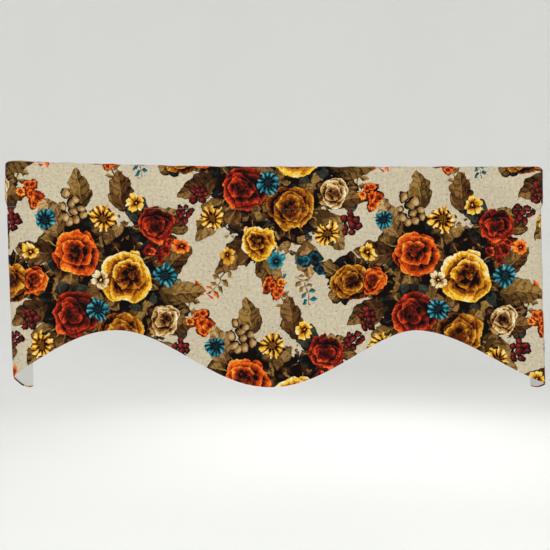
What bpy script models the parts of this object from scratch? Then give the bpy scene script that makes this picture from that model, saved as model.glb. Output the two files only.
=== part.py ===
"""A shaped window valance with a double-scalloped hem, as it hangs from a rod.

Two cloths are sewn together. The face is a printed cloth with its interlining. It runs up the
front, over the top edge and a short way down the back, which leaves a pocket for a wide flat
rod, and it turns the corners into a return at each end. The lining hangs behind the face, from
the pocket's seam down to the hem.

Frame: the origin is in the middle of the top edge, on the crown of the fold. +X runs to the
right seen from the room, +Y from the room to the wall, +Z up. Sizes are in metres.

Cloth coordinates: `across` is the distance along the cloth from its middle, and `fall` the
distance down the front from the top edge. `depth` is the distance behind the printed surface.
"""

import math
from collections import namedtuple

import bpy
import numpy as np

# Thicknesses, and the gap that two layers keep
FACE_THICKNESS = 0.002
LINING_THICKNESS = 0.001
LAYER_GAP = 0.0003

# The cloth across: half of its flat width, and the two ends as they hang
FLAT_HALF = 0.635
End = namedtuple("End", "top_half hem_half lean_power top_radius hem_radius")
LEFT_END = End(0.5323, 0.5205, 1.25, 0.018, 0.030)
RIGHT_END = End(0.5352, 0.5440, 1.20, 0.018, 0.010)
HEM_LEVEL = 0.430

# The rod pocket
SEAM_FALL = 0.085
POCKET_DEPTH = 0.0175
POCKET_BULGE = 0.0033
BULGE_EASE = 0.014
FOLD_RISE = 0.008
FLAP_STRAIGHT_TO = 0.066
FLAP_TAIL = 0.006
NOTCH_FROM = 0.502
NOTCH_TO = 0.556

# The top edge climbs towards the left end
CLIMB = 0.0125
CLIMB_REACH = 0.5335
CLIMB_POWER = 1.8
CLIMB_FADE = 0.100

# The hem swings between two high points and three low ones
Swing = namedtuple("Swing", "high_at high_fall low_at low_fall lead")
HEM_SWINGS = (
    Swing(-0.309, 0.325, -FLAT_HALF, 0.4545, 1.04),
    Swing(-0.309, 0.325, -0.005, 0.4375, 0.94),
    Swing(0.283, 0.325, -0.005, 0.4375, 0.88),
    Swing(0.283, 0.325, FLAT_HALF, 0.4490, 0.92),
)
HEM_CORNER = 0.006

# Slow waves of the hanging cloth, widest at the hem
Wave = namedtuple("Wave", "swing length phase")
WAVES = (Wave(0.0024, 0.41, 0.6), Wave(0.0013, 0.23, 2.1))
WAVE_POWER = 1.3

# The lining stops short of the face's edges, and reaches a little above the pocket's seam
LINING_INSET = 0.0025
LINING_ABOVE_SEAM = 0.0035

# Steps of the meshes across the cloth, from its middle to one end
FRONT_STEPS = 19
CORNER_STEPS = 10
RETURN_STEPS = 4
RIM_SHARES = (0.35, 0.0)

# Steps down the front, up the bulge of the pocket, over the fold and down the flap
DROP_STEPS = 7
BULGE_SHARES = (0.25, 0.5, 0.75, 1.0)
FRONT_FALLS = (0.045, 0.024)
FOLD_STEPS = 8
FLAP_TOP_FALL = 0.030
FLAP_EASE_STEPS = 4

# Finishes: base colour and roughness
FACE_COLOUR = (0.61, 0.53, 0.38)
LINING_COLOUR = (0.66, 0.65, 0.62)
CLOTH_ROUGHNESS = 0.9


def clear_scene():
    """Removes whatever the scene holds."""
    for item in list(bpy.data.objects):
        bpy.data.objects.remove(item, do_unlink=True)


def smooth_step(value):
    """Eases from 0 to 1 as the value does, level at both ends."""
    value = np.clip(value, 0.0, 1.0)
    return value * value * (3.0 - 2.0 * value)


def hem_fall(across):
    """Fall of the hem: half a cosine between each high point and the low one beside it."""
    fall = np.zeros_like(across)
    for swing in HEM_SWINGS:
        way = (across - swing.high_at) / (swing.low_at - swing.high_at)
        here = (way >= 0.0) & (way <= 1.0)
        ease = 0.5 - 0.5 * np.cos(math.pi * way[here] ** swing.lead)
        fall[here] = swing.high_fall + (swing.low_fall - swing.high_fall) * ease
    past = np.clip(np.abs(across) - (FLAT_HALF - HEM_CORNER), 0.0, HEM_CORNER)
    return fall - HEM_CORNER + np.sqrt(HEM_CORNER**2 - past**2)


def climb(across, fall):
    """Height gained by the top edge at the left, fading down the cloth."""
    reach = np.clip(-across / CLIMB_REACH, 0.0, 1.0)
    return CLIMB * reach**CLIMB_POWER * np.exp(-fall / CLIMB_FADE)


def wave(across, fall):
    """Slow cosines along the cloth, growing from the seam to the hem."""
    growth = np.clip((fall - SEAM_FALL) / (HEM_LEVEL - SEAM_FALL), 0.0, 1.0) ** WAVE_POWER
    total = np.zeros_like(across)
    for part in WAVES:
        total = total + part.swing * np.cos(2.0 * math.pi * across / part.length + part.phase)
    return growth * total


def end_shape(across, fall):
    """Half width and corner radius at each point, easing from the seam to the hem."""
    lower = np.clip((fall - SEAM_FALL) / (HEM_LEVEL - SEAM_FALL), 0.0, 1.0)
    halves = []
    radii = []
    for end in (LEFT_END, RIGHT_END):
        halves.append(end.top_half + (end.hem_half - end.top_half) * lower**end.lean_power)
        radii.append(end.top_radius + (end.hem_radius - end.top_radius) * lower)
    left = across < 0.0
    return np.where(left, halves[0], halves[1]), np.where(left, radii[0], radii[1])


def crown_depth():
    """Depth of the fold's crown, halfway through the rod pocket."""
    return 0.5 * (POCKET_DEPTH - POCKET_BULGE)


def hang(across, fall, depth):
    """Points of the hanging cloth.

    Seen from above, the cloth runs straight along the front, round a quarter circle and
    straight back along the return. A point lies `depth` behind that line, along its normal.
    """
    across, fall, depth = np.broadcast_arrays(across, fall, depth)
    half, radius = end_shape(across, fall)
    straight = half - radius
    length = np.abs(across)
    turn = np.clip((length - straight) / radius, 0.0, 0.5 * math.pi)
    back = np.maximum(length - straight - radius * 0.5 * math.pi, 0.0)
    side = np.sign(across)
    inward = depth - wave(across, fall)
    x = side * (np.minimum(length, straight) + (radius - inward) * np.sin(turn))
    y = radius - (radius - inward) * np.cos(turn) + back - crown_depth()
    z = climb(across, fall) - fall
    return np.stack((x, y, z), axis=-1)


def bulge(fall):
    """How far the rod pocket stands out of the face, from nothing at its seam."""
    return POCKET_BULGE * smooth_step((SEAM_FALL - fall) / BULGE_EASE)


def across_steps():
    """Columns of the cloth: dense round the corners, with one at each edge of the notches."""
    front = np.linspace(0.0, NOTCH_FROM, FRONT_STEPS + 1)
    corner = np.linspace(NOTCH_FROM, NOTCH_TO, CORNER_STEPS + 1)[1:]
    side = np.linspace(NOTCH_TO, FLAT_HALF - HEM_CORNER, RETURN_STEPS + 1)[1:]
    rim = FLAT_HALF - HEM_CORNER * np.array(RIM_SHARES)
    right = np.concatenate((front, corner, side, rim))
    return np.concatenate((-right[:0:-1], right))


def drop_rows(hem):
    """Falls of the rows from the hem up to the seam, one row at the flap's lower edge."""
    tail = SEAM_FALL + FLAP_TAIL
    shares = np.linspace(1.0, 0.0, DROP_STEPS + 1)[:, None]
    rows = tail + (hem[None, :] - tail) * shares
    return np.concatenate((rows, np.full((1, hem.size), SEAM_FALL)))


def face_section(hem):
    """Falls and depths of the face's rows: hem, front, fold over the top, flap behind."""
    rows = drop_rows(hem)
    front = np.concatenate((SEAM_FALL - BULGE_EASE * np.array(BULGE_SHARES), FRONT_FALLS))
    turn = np.linspace(0.0, math.pi, FOLD_STEPS + 1)
    half_depth = 0.5 * (POCKET_DEPTH + POCKET_BULGE)
    fold_fall = FOLD_RISE * (1.0 - np.sin(turn))
    fold_depth = crown_depth() - half_depth * np.cos(turn)
    rest = 2.0 * (FACE_THICKNESS + LAYER_GAP) + LINING_THICKNESS
    flap_end = SEAM_FALL - FLAP_TAIL
    flap = np.concatenate((
        (FLAP_TOP_FALL,),
        np.linspace(FLAP_STRAIGHT_TO, flap_end, FLAP_EASE_STEPS + 1),
        (SEAM_FALL + FLAP_TAIL,),
    ))
    ease = smooth_step((flap - FLAP_STRAIGHT_TO) / (flap_end - FLAP_STRAIGHT_TO))
    flap_depth = POCKET_DEPTH + (rest - POCKET_DEPTH) * ease
    upper_falls = np.concatenate((front, fold_fall, flap))
    upper_depths = np.concatenate((-bulge(front), fold_depth, flap_depth))
    falls = np.concatenate((rows, np.repeat(upper_falls[:, None], hem.size, axis=1)))
    depths = np.repeat(upper_depths[:, None], hem.size, axis=1)
    depths = np.concatenate((np.zeros_like(rows), depths))
    crown_row = len(rows) + len(front) + FOLD_STEPS // 2
    return falls, depths, crown_row


def make_cloth(name, points, kept, thickness, material):
    """A sheet through a grid of points, thickened towards its back."""
    rows, columns = points.shape[:2]
    corners = np.arange(rows * columns).reshape(rows, columns)
    quads = np.stack(
        (corners[:-1, :-1], corners[:-1, 1:], corners[1:, 1:], corners[1:, :-1]), axis=-1
    )[kept]
    used, faces = np.unique(quads, return_inverse=True)
    faces = faces.reshape(quads.shape)
    mesh = bpy.data.meshes.new(name)
    mesh.from_pydata(points.reshape(-1, 3)[used].tolist(), [], faces.tolist())
    mesh.shade_smooth()
    mesh.materials.append(material)
    cloth = bpy.data.objects.new(name, mesh)
    bpy.context.scene.collection.objects.link(cloth)
    solid = cloth.modifiers.new("Thickness", "SOLIDIFY")
    solid.thickness = thickness
    solid.offset = -1.0
    solid.use_even_offset = True
    return cloth


def make_face(material):
    """The printed cloth, its flap notched at both corners so that the rod can turn them."""
    across = across_steps()
    falls, depths, crown_row = face_section(hem_fall(across))
    points = hang(across[None, :], falls, depths)
    middles = 0.5 * np.abs(across[1:] + across[:-1])
    notched = (middles > NOTCH_FROM) & (middles < NOTCH_TO)
    kept = np.ones((falls.shape[0] - 1, across.size - 1), dtype=bool)
    kept[crown_row:, notched] = False
    return make_cloth("face", points, kept, FACE_THICKNESS, material)


def make_lining(material):
    """The plain cloth behind the face, caught in the pocket's seam."""
    across = across_steps()[1:-1]
    across[[0, -1]] = np.sign(across[[0, -1]]) * (FLAT_HALF - LINING_INSET)
    hem = hem_fall(across) - LINING_INSET
    falls = drop_rows(hem)
    top = np.full((1, hem.size), SEAM_FALL - LINING_ABOVE_SEAM)
    falls = np.concatenate((falls, top))
    depths = FACE_THICKNESS + LAYER_GAP - bulge(falls)
    points = hang(across[None, :], falls, depths)
    kept = np.ones((falls.shape[0] - 1, across.size - 1), dtype=bool)
    return make_cloth("lining", points, kept, LINING_THICKNESS, material)


def make_finish(name, colour):
    """A matt cloth of one colour."""
    material = bpy.data.materials.new(name)
    material.use_nodes = True
    shader = material.node_tree.nodes["Principled BSDF"]
    shader.inputs["Base Color"].default_value = (*colour, 1.0)
    shader.inputs["Roughness"].default_value = CLOTH_ROUGHNESS
    shader.inputs["Metallic"].default_value = 0.0
    return material


def main():
    """Makes the two cloths."""
    clear_scene()
    make_face(make_finish("printed_cloth", FACE_COLOUR))
    make_lining(make_finish("lining_cloth", LINING_COLOUR))


main()
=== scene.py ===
"""A shaped window valance with a double-scalloped hem, dressed in its cloths and thread.

The face is a linen-look cloth printed with bunches of flowers. It runs up the front, over the
top edge and a short way down the back, which leaves a pocket for a flat curtain rod, and turns
a corner into a return at each end. A plain lining hangs behind it.

Frame: origin in the middle of the top edge, +X to the right seen from the room, +Y from the
room to the wall, +Z up, metres.

Cloth coordinates: `across` is the distance along the cloth from its middle, `fall` the distance
down the front from the top edge, `depth` the distance behind the printed surface.
"""

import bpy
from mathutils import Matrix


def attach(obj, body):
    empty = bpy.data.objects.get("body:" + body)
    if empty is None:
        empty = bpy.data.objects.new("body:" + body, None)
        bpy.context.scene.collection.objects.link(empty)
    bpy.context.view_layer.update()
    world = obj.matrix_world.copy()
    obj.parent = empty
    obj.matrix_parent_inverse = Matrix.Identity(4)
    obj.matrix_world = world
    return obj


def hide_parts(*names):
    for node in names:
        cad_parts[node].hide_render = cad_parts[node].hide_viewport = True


bl_info = {
    "name": "Scalloped Window Valance",
    "version": (1, 0, 0),
    "blender": (4, 5, 0),
    "location": "3D View > Sidebar > Valance",
    "description": "Makes a printed and lined window valance and a plain studio round it",
    "category": "Add Mesh",
}

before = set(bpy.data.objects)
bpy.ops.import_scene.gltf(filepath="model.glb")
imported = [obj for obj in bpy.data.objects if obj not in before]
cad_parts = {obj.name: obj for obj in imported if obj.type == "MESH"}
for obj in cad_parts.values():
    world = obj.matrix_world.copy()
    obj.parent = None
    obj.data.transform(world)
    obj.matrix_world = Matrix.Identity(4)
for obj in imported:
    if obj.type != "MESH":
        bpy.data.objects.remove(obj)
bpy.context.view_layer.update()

import itertools
import math
from collections import namedtuple

import bpy
import numpy as np
from bpy.props import FloatProperty, FloatVectorProperty, PointerProperty
from mathutils import Vector

BODY = "root"
TURN = 2.0 * math.pi


def screen_colour(red, green, blue):
    """Scene-linear colour of a screen colour given from 0 to 255."""
    values = np.array((red, green, blue)) / 255.0
    return tuple(np.where(values <= 0.04045, values / 12.92, ((values + 0.055) / 1.055) ** 2.4))


# ---- sizes of the hanging cloth

# One end of the front: its half width and corner radius at the top and at the hem.
End = namedtuple("End", "top_half hem_half lean_power top_radius hem_radius")
LEFT_END = End(0.5323, 0.5205, 1.25, 0.018, 0.030)
RIGHT_END = End(0.5352, 0.5440, 1.20, 0.018, 0.010)

FLAT_HALF = 0.635
HEM_LEVEL = 0.430
HEM_CORNER = 0.006
SEAM_FALL = 0.085
POCKET_DEPTH = 0.0175
POCKET_BULGE = 0.0033
BULGE_EASE = 0.014
FOLD_RISE = 0.008
CROWN_DEPTH = 0.5 * (POCKET_DEPTH - POCKET_BULGE)
FLAP_STRAIGHT_TO = 0.066
FLAP_TAIL = 0.006
NOTCH_FROM = 0.502
NOTCH_TO = 0.556
CLIMB = 0.0125
CLIMB_REACH = 0.5335
CLIMB_POWER = 1.8
CLIMB_FADE = 0.100
LINING_INSET = 0.0025
TURNED_EDGE = 0.008
EDGE_ROUND_REACH = 0.0035

# A swing of the hem, from a high point down to the low one beside it.
Swing = namedtuple("Swing", "high_at high_fall low_at low_fall lead")
HEM_SWINGS = (
    Swing(-0.309, 0.325, -FLAT_HALF, 0.4545, 1.04),
    Swing(-0.309, 0.325, -0.005, 0.4375, 0.94),
    Swing(0.283, 0.325, -0.005, 0.4375, 0.88),
    Swing(0.283, 0.325, FLAT_HALF, 0.4490, 0.92),
)

Wave = namedtuple("Wave", "swing length phase")
FACE_WAVES = (Wave(0.0024, 0.41, 0.6), Wave(0.0013, 0.23, 2.1))
WAVE_POWER = 1.3
CROWN_RIPPLES = (Wave(0.0004, 0.047, 0.0), Wave(0.0004, 0.083, 1.0))
CROWN_RIPPLE_FADE = 0.025

FINE_PUCKER = 0.0135
COARSE_PUCKER = 0.0210
COARSE_PUCKER_SHARE = 0.7
COARSE_PUCKER_DRIFT = 1.4
PUCKER_DRIFT = (Wave(1.8, 0.160, 0.0), Wave(1.1, 0.071, 0.7))
PUCKER_SWELL = Wave(0.35, 0.290, 1.9)
PUCKER_MEAN = 0.65
PUCKER_REACH = 0.010
GROOVE_REACH = 0.0024
CREASES_FROM = 0.030
FLAP_CREASE_SHARE = 0.3
SLACK_ACROSS = (0.118, 0.074)
SLACK_DOWN = (0.150, 0.092)
SLACK_SWAY = 1.2
SLACK_SWAY_LENGTH = 0.310
SLACK_PHASE_A_METRE = 40.0
LINING_RIPPLE_LENGTH = 0.137
LINING_LEAN_DOWN = Wave(0.9, 0.420, 0.6)
LINING_LEAN_ACROSS = Wave(0.8, 0.390, 0.0)
LINING_SWELL = Wave(0.45, 0.310, 2.0)
LINING_SWELL_MEAN = 0.55
LINING_RIPPLE_POWER = 1.5
LINING_FREE_FROM = 0.100
LINING_TOP_EASE = 0.060
LINING_HEM_EASE = 0.045
LINING_END_EASE = 0.030

ACROSS_STEP = 0.005
CORNER_STEP = 0.0025
ACROSS_BANDS = ((0.0, ACROSS_STEP), (0.482, CORNER_STEP), (NOTCH_FROM, CORNER_STEP),
                (NOTCH_TO, CORNER_STEP), (0.575, ACROSS_STEP))
RIM_STEPS = np.array((0.0060, 0.0042, 0.0028, 0.0017, 0.0008, 0.0))
SEAM_STEPS = np.array((0.0130, 0.0095, 0.0072, 0.0055, 0.0040, 0.0028, 0.0018, 0.0009))
DROP_ROWS = 44
POCKET_STEP = 0.0060
FLAP_EASE_STEP = 0.002
FLAP_TAIL_STEP = 0.0015
FOLD_STEPS = 16
FOLD_TOP_FALL = 0.014
FLAP_TOP_FALL = 0.020
LINING_ROWS_ABOVE = 3
RIM_SHARE = 0.36
RIM_ANGLE = math.radians(50.0)

STITCH_SIDES = 6
STITCH_RINGS = 5
STITCH_TAPER = 0.92
STITCH_SINK = 0.25
ROW_INSET = 0.004
NOTCH_CLEARANCE = 0.002

WEAVE_SWAY_SCALE = 60.0
SLUB_SCALES = (48.0, 520.0)
FLECK_SCALES = (64.0, 92.0)
MOTTLE_SCALE = 170.0
FADE_SCALE = 7.0
LINEN_PITCH = 0.00062
LINEN_LIFT = 0.00012
LINING_PITCH = 0.00042
LINING_LIFT = 0.00006
THREAD_TWIST = 0.0006
THREAD_LIFT = 0.00004
CLOTH_SHINE = 0.05
SHEEN_ROUGHNESS = 0.5
SHOW_THROUGH = 0.14

DISH_FLAT_RINGS = (0.0, 1.0, 2.0)
DISH_FLAT = 3.0
DISH_CURVE = 1.6
DISH_WALL = 5.0
DISH_RINGS = 13
DISH_SIDES = 96

Lamp = namedtuple("Lamp", "name place size setting")
LAMPS = (
    Lamp("key_lamp", (-1.3, -2.2, 1.3), 1.8, "key_power"),
    Lamp("fill_lamp", (1.9, -1.9, 0.4), 1.8, "fill_power"),
    Lamp("back_lamp", (0.6, 2.2, 1.2), 2.0, "back_power"),
)
LAMP_AIM = (0.0, 0.05, -0.22)
LENS_LENGTH = 50.0
SENSOR_WIDTH = 36.0
NEAR_CLIP = 0.01


def size(name, about, default, most, least=0.0):
    """A length that can be changed, in metres."""
    return FloatProperty(name=name, description=about, default=default, min=least, max=most,
                         unit="LENGTH", precision=4)


def paint(name, about, *colour):
    """A colour that can be changed, its default a screen colour."""
    return FloatVectorProperty(name=name, description=about, subtype="COLOR", size=3, min=0.0,
                               max=1.0, default=screen_colour(*colour))


def light(name, about, default):
    """A strength of light that can be changed."""
    return FloatProperty(name=name, description=about, default=default, min=0.0)


class ClothSizes(bpy.types.PropertyGroup):
    """Thicknesses of the cloths and the depth of their small creases."""

    face_thickness: size("Face thickness", "Printed cloth with its interlining",
                         0.002, 0.004, 0.0005)
    lining_thickness: size("Lining thickness", "Plain cloth behind the face",
                           0.001, 0.003, 0.0005)
    layer_gap: size("Layer gap", "Room between two layers", 0.0003, 0.002, 0.0001)
    pucker: size("Seam pucker", "Height of the small gathers along the pocket's seam",
                 0.00045, 0.001)
    groove: size("Seam groove", "How far the stitches pull the cloth in", 0.0009, 0.0015)
    slack: size("Slack", "Height of the soft hollows in the hanging cloth", 0.0008, 0.002)
    lining_ease: size("Lining ease", "How far the loose lining ripples away from the face",
                      0.003, 0.008)
    edge_roll: size("Edge roll", "How far the turned edges round towards the back",
                    0.0006, 0.001)


class ThreadSizes(bpy.types.PropertyGroup):
    """The sewing thread and its stitch."""

    thickness: size("Thread", "Thickness of the sewing thread", 0.0005, 0.001, 0.0002)
    stitch: size("Stitch", "Length of one stitch", 0.0032, 0.006, 0.002)
    pitch: size("Pitch", "Distance from one stitch to the next", 0.0042, 0.008, 0.002)


class ClothColours(bpy.types.PropertyGroup):
    """Colours of the cloths and the thread."""

    ground: paint("Ground", "Unprinted linen", 205, 193, 166)
    slub: paint("Slubs", "Thick dark threads in the linen", 126, 114, 92)
    wrong_side: paint("Wrong side", "Back of the printed cloth", 214, 204, 182)
    lining: paint("Lining", "Plain lining", 205, 205, 202)
    thread: paint("Thread", "Sewing thread", 196, 178, 144)


class StudioSettings(bpy.types.PropertyGroup):
    """The plain room that the valance is shown in."""

    floor_drop: size("Floor drop", "From the top edge down to the floor", 0.95, 3.0, 0.6)
    camera_distance: size("Camera distance", "From the face to the camera", 1.512, 5.0, 0.5)
    camera_drop: size("Camera drop", "From the top edge down to the camera's height", 0.2155, 1.0)
    camera_right: size("Camera right", "From the valance's middle to the camera",
                       0.0035, 0.5, -0.5)
    key_power: light("Key light", "Power of the large lamp in front", 29.0)
    fill_power: light("Fill light", "Power of the lamp at the other side", 15.0)
    back_power: light("Back light", "Power of the lamp behind", 34.0)
    sky: light("Sky", "Strength of the even light from all round", 0.62)
    floor_colour: paint("Floor", "Pale floor and wall", 246, 246, 244)


# ---- shape of the hanging cloth


def smooth_step(value):
    """Eases from 0 to 1 as the value does, level at both ends."""
    value = np.clip(value, 0.0, 1.0)
    return value * value * (3.0 - 2.0 * value)


def hem_fall(across):
    """Fall of the hem: half a cosine between each high point and the low one beside it."""
    fall = np.zeros_like(across)
    for swing in HEM_SWINGS:
        way = (across - swing.high_at) / (swing.low_at - swing.high_at)
        here = (way >= 0.0) & (way <= 1.0)
        ease = 0.5 - 0.5 * np.cos(math.pi * way[here] ** swing.lead)
        fall[here] = swing.high_fall + (swing.low_fall - swing.high_fall) * ease
    past = np.clip(np.abs(across) - (FLAT_HALF - HEM_CORNER), 0.0, HEM_CORNER)
    return fall - HEM_CORNER + np.sqrt(HEM_CORNER**2 - past**2)


def climb(across, fall):
    """Height gained by the top edge at the left, fading down the cloth."""
    reach = np.clip(-across / CLIMB_REACH, 0.0, 1.0)
    return CLIMB * reach**CLIMB_POWER * np.exp(-fall / CLIMB_FADE)


def sines(place, *waves):
    """Sum of sines along a place, each with its swing, length and phase."""
    return sum(wave.swing * np.sin(TURN * place / wave.length + wave.phase) for wave in waves)


def crown_ripple(across, fall):
    """Small ups and downs of the fold: two sines, gone by the pocket's seam."""
    return sines(across, *CROWN_RIPPLES) * np.exp(-fall / CROWN_RIPPLE_FADE)


def below_seam(fall):
    """0 at the pocket's seam and above, 1 at the hem's level and below."""
    return np.clip((fall - SEAM_FALL) / (HEM_LEVEL - SEAM_FALL), 0.0, 1.0)


def wave(across, fall):
    """Slow cosines along the cloth, growing from the seam to the hem."""
    total = sum(part.swing * np.cos(TURN * across / part.length + part.phase)
                for part in FACE_WAVES)
    return below_seam(fall) ** WAVE_POWER * total


def end_shape(across, fall):
    """Half width and corner radius at each point, easing from the seam to the hem."""
    top_half, hem_half, lean_power, top_radius, hem_radius = (
        np.where(across < 0.0, *pair) for pair in zip(LEFT_END, RIGHT_END))
    lower = below_seam(fall)
    half = top_half + (hem_half - top_half) * lower**lean_power
    return half, top_radius + (hem_radius - top_radius) * lower


def relief(across, fall, sizes):
    """Height of the small creases: a groove at the seam, gathers that die out either side of
    it, and two sets of soft hollows, each a product of cosines whose rows drift sideways."""
    off_seam = fall - SEAM_FALL
    drift = sines(across, *PUCKER_DRIFT)
    gathers = np.sin(TURN * across / FINE_PUCKER + drift) + COARSE_PUCKER_SHARE * np.sin(
        TURN * across / COARSE_PUCKER - COARSE_PUCKER_DRIFT * drift + 1.0)
    uneven = PUCKER_MEAN + sines(across, PUCKER_SWELL)
    height = sizes.pucker * uneven * gathers * np.exp(-np.abs(off_seam) / PUCKER_REACH)
    height = height - sizes.groove * np.exp(-((off_seam / GROOVE_REACH) ** 2))
    open_cloth = smooth_step(np.abs(off_seam) / CREASES_FROM)
    for length_across, length_down in zip(SLACK_ACROSS, SLACK_DOWN):
        phase = length_across * SLACK_PHASE_A_METRE
        sway = SLACK_SWAY * np.sin(TURN * fall / SLACK_SWAY_LENGTH + phase)
        hollow = np.cos(TURN * across / length_across + sway)
        hollow = hollow * np.cos(TURN * fall / length_down + 0.9)
        height = height + 0.5 * sizes.slack * hollow * open_cloth
    return height


def lining_ripple(across, fall, sizes):
    """How far the lining stands off behind the face: upright ripples that lean and swell
    unevenly, and die out at its seam, its hem and both ends."""
    lean = sines(fall, LINING_LEAN_DOWN) + sines(across, LINING_LEAN_ACROSS)
    ripple = 0.5 + 0.5 * np.cos(TURN * across / LINING_RIPPLE_LENGTH + lean)
    swell = LINING_SWELL_MEAN + sines(across, LINING_SWELL)
    free = smooth_step((fall - LINING_FREE_FROM) / LINING_TOP_EASE)
    free = free * smooth_step((hem_fall(across) - fall) / LINING_HEM_EASE)
    free = free * smooth_step((FLAT_HALF - np.abs(across)) / LINING_END_EASE)
    return sizes.lining_ease * ripple**LINING_RIPPLE_POWER * swell * free


def to_edge(across, fall):
    """Distance to the hem or to the nearer end of the cloth."""
    return np.minimum(hem_fall(across) - fall, FLAT_HALF - np.abs(across))


def edge_round(across, fall, sizes):
    """How far the last millimetres at the hem and at both ends round towards the back."""
    near = np.clip(1.0 - to_edge(across, fall) / EDGE_ROUND_REACH, 0.0, 1.0)
    return sizes.edge_roll * near**2


def hang(across, fall, depth):
    """Points of the hanging cloth.

    Seen from above, the cloth runs straight along the front, round a quarter circle and
    straight back along the return. A point lies `depth` behind that line, along its normal.
    """
    across, fall, depth = np.broadcast_arrays(across, fall, depth)
    half, radius = end_shape(across, fall)
    straight = half - radius
    run = np.abs(across)
    turn = np.clip((run - straight) / radius, 0.0, 0.5 * math.pi)
    back = np.maximum(run - straight - radius * 0.5 * math.pi, 0.0)
    inward = depth - wave(across, fall)
    x = np.sign(across) * (np.minimum(run, straight) + (radius - inward) * np.sin(turn))
    y = radius - (radius - inward) * np.cos(turn) + back - CROWN_DEPTH
    z = climb(across, fall) + crown_ripple(across, fall) - fall
    return np.stack((x, y, z), axis=-1)


def bulge(fall):
    """How far the rod pocket stands out of the face, from nothing at its seam."""
    return POCKET_BULGE * smooth_step((SEAM_FALL - fall) / BULGE_EASE)


def flap_depth(fall, sizes):
    """Depth of the flap's printed side: the pocket's back, easing in to lie on the lining."""
    rest = 2.0 * (sizes.face_thickness + sizes.layer_gap) + sizes.lining_thickness
    ease = smooth_step((fall - FLAP_STRAIGHT_TO) / (SEAM_FALL - FLAP_TAIL - FLAP_STRAIGHT_TO))
    return POCKET_DEPTH + (rest - POCKET_DEPTH) * ease


def crease_depth(across, fall, depth, sizes):
    """Depth with the small creases in it, fading out over the fold, where the rod shapes it."""
    near_fold = smooth_step((fall - FOLD_RISE) / CREASES_FROM)
    height = relief(np.broadcast_to(across, fall.shape), fall, sizes) * near_fold
    return depth - np.where(depth > CROWN_DEPTH, FLAP_CREASE_SHARE * height, height)


# ---- grids of the cloths


def steps_between(start, end, step):
    """Even steps from start to just before the end, none longer than the given one."""
    count = max(1, math.ceil((end - start) / step - 1e-6))
    return np.linspace(start, end, count + 1)[:-1]


def banded_steps(bands, end):
    """Steps through bands, each given by its start and its longest step, and their end."""
    starts, longest = zip(*bands)
    steps = map(steps_between, starts, (*starts[1:], end), longest)
    return np.concatenate((*steps, (end,)))


def across_steps():
    """Columns of the cloth: finer round the corners, with one at each edge of the notches."""
    rim = FLAT_HALF - RIM_STEPS
    right = np.concatenate((banded_steps(ACROSS_BANDS, rim[0]), rim[1:]))
    return np.concatenate((-right[:0:-1], right))


def all_across(falls, across):
    """One row for each fall, the same in every column."""
    return np.repeat(falls[:, None], across.size, axis=1)


def drop_rows(across, hem):
    """Falls of the rows from the hem up to the seam, close together at both."""
    edge = hem[None, :] - RIM_STEPS[::-1, None]
    top = SEAM_FALL + SEAM_STEPS[0]
    shares = np.linspace(1.0, 0.0, DROP_ROWS + 1)[1:-1, None]
    middle = top + (edge[-1:] - top) * shares
    seam = all_across(SEAM_FALL + np.append(SEAM_STEPS, 0.0), across)
    return np.concatenate((edge, middle, seam))


def pocket_section(sizes):
    """Falls and depths from just above the seam, up the pocket's front, over the fold (half an
    ellipse) and down the flap behind to its tail, and the row of the fold's crown."""
    front = np.concatenate((
        SEAM_FALL - SEAM_STEPS[::-1],
        -steps_between(SEAM_STEPS[0] - SEAM_FALL, -FOLD_TOP_FALL, POCKET_STEP)[1:],
        (FOLD_TOP_FALL,),
    ))
    turn = np.linspace(0.0, math.pi, FOLD_STEPS + 1)
    fold_fall = FOLD_RISE * (1.0 - np.sin(turn))
    fold_depth = CROWN_DEPTH - 0.5 * (POCKET_DEPTH + POCKET_BULGE) * np.cos(turn)
    bands = ((FLAP_TOP_FALL, POCKET_STEP), (FLAP_STRAIGHT_TO, FLAP_EASE_STEP),
             (SEAM_FALL - FLAP_TAIL, FLAP_TAIL_STEP))
    flap = np.append(FOLD_TOP_FALL, banded_steps(bands, SEAM_FALL + FLAP_TAIL))
    falls = np.concatenate((front, fold_fall, flap))
    depths = np.concatenate((-bulge(front), fold_depth, flap_depth(flap, sizes)))
    return falls, depths, front.size + FOLD_STEPS // 2


def face_grid(sizes):
    """Across, fall, depth and way along the cloth of each row and column of the face, and the
    row of the fold's crown. The way is measured up the cloth from the top edge's level."""
    across = across_steps()
    lower = drop_rows(across, hem_fall(across))
    falls, depths, crown = pocket_section(sizes)
    fall = np.concatenate((lower, all_across(falls, across)))
    depth = np.concatenate((np.zeros_like(lower), all_across(depths, across)))
    steps = np.hypot(np.diff(fall[len(lower) - 1:, 0]), np.diff(depth[len(lower) - 1:, 0]))
    way = np.concatenate((-lower, all_across(np.cumsum(steps) - SEAM_FALL, across)))
    return np.broadcast_to(across, fall.shape), fall, depth, way, len(lower) + crown


def lining_grid():
    """Across and fall of each row and column of the lining, a little inside the face."""
    across = across_steps()[1:-1] * (FLAT_HALF - LINING_INSET) / (FLAT_HALF - RIM_STEPS[-2])
    lower = drop_rows(across, hem_fall(across) - LINING_INSET)
    above = all_across(SEAM_FALL - SEAM_STEPS[::-1][:LINING_ROWS_ABOVE], across)
    fall = np.concatenate((lower, above))
    return np.broadcast_to(across, fall.shape), fall


# ---- meshes


def with_settings(thing, **settings):
    """The thing, once its settings are made."""
    for name, setting in settings.items():
        setattr(thing, name, setting)
    return thing


def new_object(name, data, **settings):
    """A new object of the scene, at the origin unless its settings place it."""
    thing = with_settings(bpy.data.objects.new(name, data), **settings)
    bpy.context.scene.collection.objects.link(thing)
    return thing


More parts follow.
